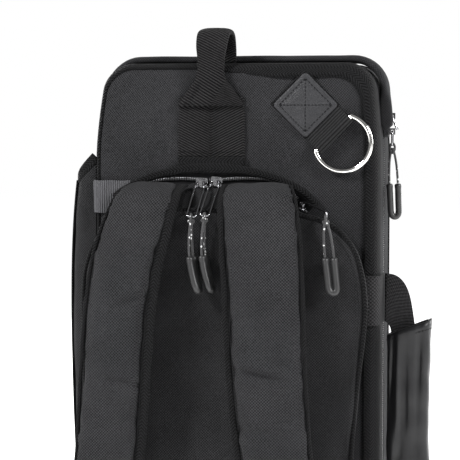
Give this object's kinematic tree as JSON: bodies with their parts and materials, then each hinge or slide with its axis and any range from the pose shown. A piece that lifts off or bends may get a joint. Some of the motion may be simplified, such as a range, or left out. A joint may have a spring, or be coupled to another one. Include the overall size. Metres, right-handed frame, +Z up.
{
  "type": "drum stick bag",
  "caption": "Padded upright stick bag with a zipped cover, stowable shoulder straps, side pocket, side and top handles and D-rings.",
  "frame": {"origin": "centre of the bag's flat base, on the surface it stands on", "axes": "+Z up along the bag, -Y towards the shoulder straps, +Y towards the cover, +X towards the side handle"},
  "size_m": [0.316, 0.1863, 0.5285],
  "materials": {
    "case_fabric": "matte woven nylon",
    "binding_tape": "ribbed woven tape",
    "zip_chain": "coil zip on tape",
    "lining_foam": "brushed lining over foam",
    "sleeve_lining": "lining",
    "mesh": "mesh",
    "webbing": "herringbone webbing",
    "strap_fabric": "matte woven nylon over foam",
    "buckle_plastic": "moulded",
    "leatherette": "grained leatherette",
    "nickel": "polished nickel plate",
    "zip_metal": "gloss black enamel",
    "pull_cord": "braided cord",
    "grip_rubber": "smooth rubber"
  },
  "bodies": {
    "case": {"back_shell": "case_fabric", "back_binding": "binding_tape", "main_zip_chain_back": "zip_chain", "storm_flap": "case_fabric", "back_padding": "lining_foam", "stick_sleeve_rear": "sleeve_lining", "stick_sleeve_front": "sleeve_lining", "strap_pocket_shell": "case_fabric", "strap_pocket_gusset": "case_fabric", "strap_pocket_piping": "binding_tape", "arch_band": "binding_tape", "arch_zip_chain": "zip_chain", "side_pocket_shell": "case_fabric", "left_tab_webbing": "webbing", "strap_left_pad": "strap_fabric", "strap_left_webbing": "webbing", "strap_right_pad": "strap_fabric", "strap_right_webbing": "webbing", "ladder_locks": "buckle_plastic", "top_handle": "webbing", "d_ring_tab_upper": "webbing", "d_ring_tab_lower": "webbing", "d_ring_patches": "leatherette", "side_handle_anchors": "webbing"},
    "cover": {"front_shell": "case_fabric", "main_zip_chain_front": "zip_chain", "front_padding": "lining_foam", "mesh_pocket": "mesh", "front_pocket_shell": "case_fabric", "front_pocket_zip_chain": "zip_chain"},
    "ring_upper": {"d_ring_upper": "nickel"},
    "ring_lower": {"d_ring_lower": "nickel"},
    "side_handle": {"side_handle_webbing": "webbing", "side_handle_sleeve": "leatherette"},
    "slider_body_arch_left": {"slider_arch_left": "zip_metal"},
    "pull_arch_left": {"puller_arch_left": "zip_metal", "cord_arch_left": "pull_cord", "grip_arch_left": "grip_rubber"},
    "slider_body_arch_centre_left": {"slider_arch_centre_left": "zip_metal"},
    "pull_arch_centre_left": {"puller_arch_centre_left": "zip_metal", "cord_arch_centre_left": "pull_cord", "grip_arch_centre_left": "grip_rubber"},
    "slider_body_arch_centre_right": {"slider_arch_centre_right": "zip_metal"},
    "pull_arch_centre_right": {"puller_arch_centre_right": "zip_metal", "cord_arch_centre_right": "pull_cord", "grip_arch_centre_right": "grip_rubber"},
    "slider_body_arch_right": {"slider_arch_right": "zip_metal"},
    "pull_arch_right": {"puller_arch_right": "zip_metal", "cord_arch_right": "pull_cord", "grip_arch_right": "grip_rubber"},
    "slider_body_main_upper": {"slider_main_upper": "zip_metal"},
    "pull_main_upper": {"puller_main_upper": "zip_metal"},
    "slider_body_main_lower": {"slider_main_lower": "zip_metal"},
    "pull_main_lower": {"puller_main_lower": "zip_metal", "cord_main_lower": "pull_cord", "grip_main_lower": "grip_rubber"},
    "slider_body_front_pocket": {"slider_front_pocket": "zip_metal"},
    "pull_front_pocket": {"puller_front_pocket": "zip_metal", "cord_front_pocket": "pull_cord", "grip_front_pocket": "grip_rubber"}
  },
  "joints": [
    {"name": "cover_hinge", "type": "hinge", "parent": "case", "child": "cover", "pos_m": [0, 0.045, 0.003], "axis": [-1, 0, 0], "range_deg": [0, 80]},
    {"name": "ring_upper_swing", "type": "hinge", "parent": "case", "child": "ring_upper", "pos_m": [0.086, -0.0546, 0.4392], "axis": [-0.7071, 0, -0.7071], "range_deg": [0, 150]},
    {"name": "ring_lower_swing", "type": "hinge", "parent": "case", "child": "ring_lower", "pos_m": [0.1266, -0.024, 0.046], "axis": [0, -1, 0], "range_deg": [0, 150]},
    {"name": "side_handle_swing", "type": "hinge", "parent": "case", "child": "side_handle", "pos_m": [0.125, -0.017, 0.2125], "axis": [0, 0, -1], "range_deg": [-20, 25]},
    {"name": "travel_arch_left", "type": "hinge", "parent": "case", "child": "slider_body_arch_left", "pos_m": [-0.07428, -0.0593, 0.35808], "axis": [0, 1, 0], "range_deg": [0, 3]},
    {"name": "swing_arch_left", "type": "hinge", "parent": "slider_body_arch_left", "child": "pull_arch_left", "pos_m": [-0.0923, -0.0593, 0.38], "axis": [-0.9511, 0, 0.309], "range_deg": [0, 2]},
    {"name": "travel_arch_centre_left", "type": "hinge", "parent": "case", "child": "slider_body_arch_centre_left", "pos_m": [-0.0175, -0.0593, 0.2535], "axis": [0, 1, 0], "range_deg": [-1.6, 0.3]},
    {"name": "swing_arch_centre_left", "type": "hinge", "parent": "slider_body_arch_centre_left", "child": "pull_arch_centre_left", "pos_m": [-0.026, -0.0593, 0.398], "axis": [-0.9986, 0, 0.0523], "range_deg": [0, 75]},
    {"name": "travel_arch_centre_right", "type": "hinge", "parent": "case", "child": "slider_body_arch_centre_right", "pos_m": [-0.0175, -0.0593, 0.2535], "axis": [0, 1, 0], "range_deg": [-0.4, 0]},
    {"name": "swing_arch_centre_right", "type": "hinge", "parent": "slider_body_arch_centre_right", "child": "pull_arch_centre_right", "pos_m": [-0.0134, -0.0593, 0.399], "axis": [-0.9945, 0, 0.1045], "range_deg": [0, 75]},
    {"name": "travel_arch_right", "type": "hinge", "parent": "case", "child": "slider_body_arch_right", "pos_m": [0.03928, -0.0593, 0.35808], "axis": [0, 1, 0], "range_deg": [-6, 0]},
    {"name": "swing_arch_right", "type": "hinge", "parent": "slider_body_arch_right", "child": "pull_arch_right", "pos_m": [0.0583, -0.0593, 0.38], "axis": [-0.2924, 0, -0.9563], "range_deg": [0, 12]},
    {"name": "travel_main_upper", "type": "slide", "parent": "case", "child": "slider_body_main_upper", "axis": [0, 0, 1], "range_m": [0, 0.005]},
    {"name": "swing_main_upper", "type": "hinge", "parent": "slider_body_main_upper", "child": "pull_main_upper", "pos_m": [0.1289, 0, 0.454], "axis": [0, -1, 0], "range_deg": [0, 70]},
    {"name": "travel_main_lower", "type": "slide", "parent": "case", "child": "slider_body_main_lower", "axis": [0, 0, -1], "range_m": [0, 0.27]},
    {"name": "swing_main_lower", "type": "hinge", "parent": "slider_body_main_lower", "child": "pull_main_lower", "pos_m": [0.1289, 0, 0.441], "axis": [0, -1, 0], "range_deg": [0, 25]},
    {"name": "travel_front_pocket", "type": "slide", "parent": "cover", "child": "slider_body_front_pocket", "axis": [-1, 0, 0], "range_m": [-0.014, 0.13]},
    {"name": "swing_front_pocket", "type": "hinge", "parent": "slider_body_front_pocket", "child": "pull_front_pocket", "pos_m": [0.058, 0.0655, 0.361], "axis": [1, 0, 0], "range_deg": [0, 75]}
  ]
}
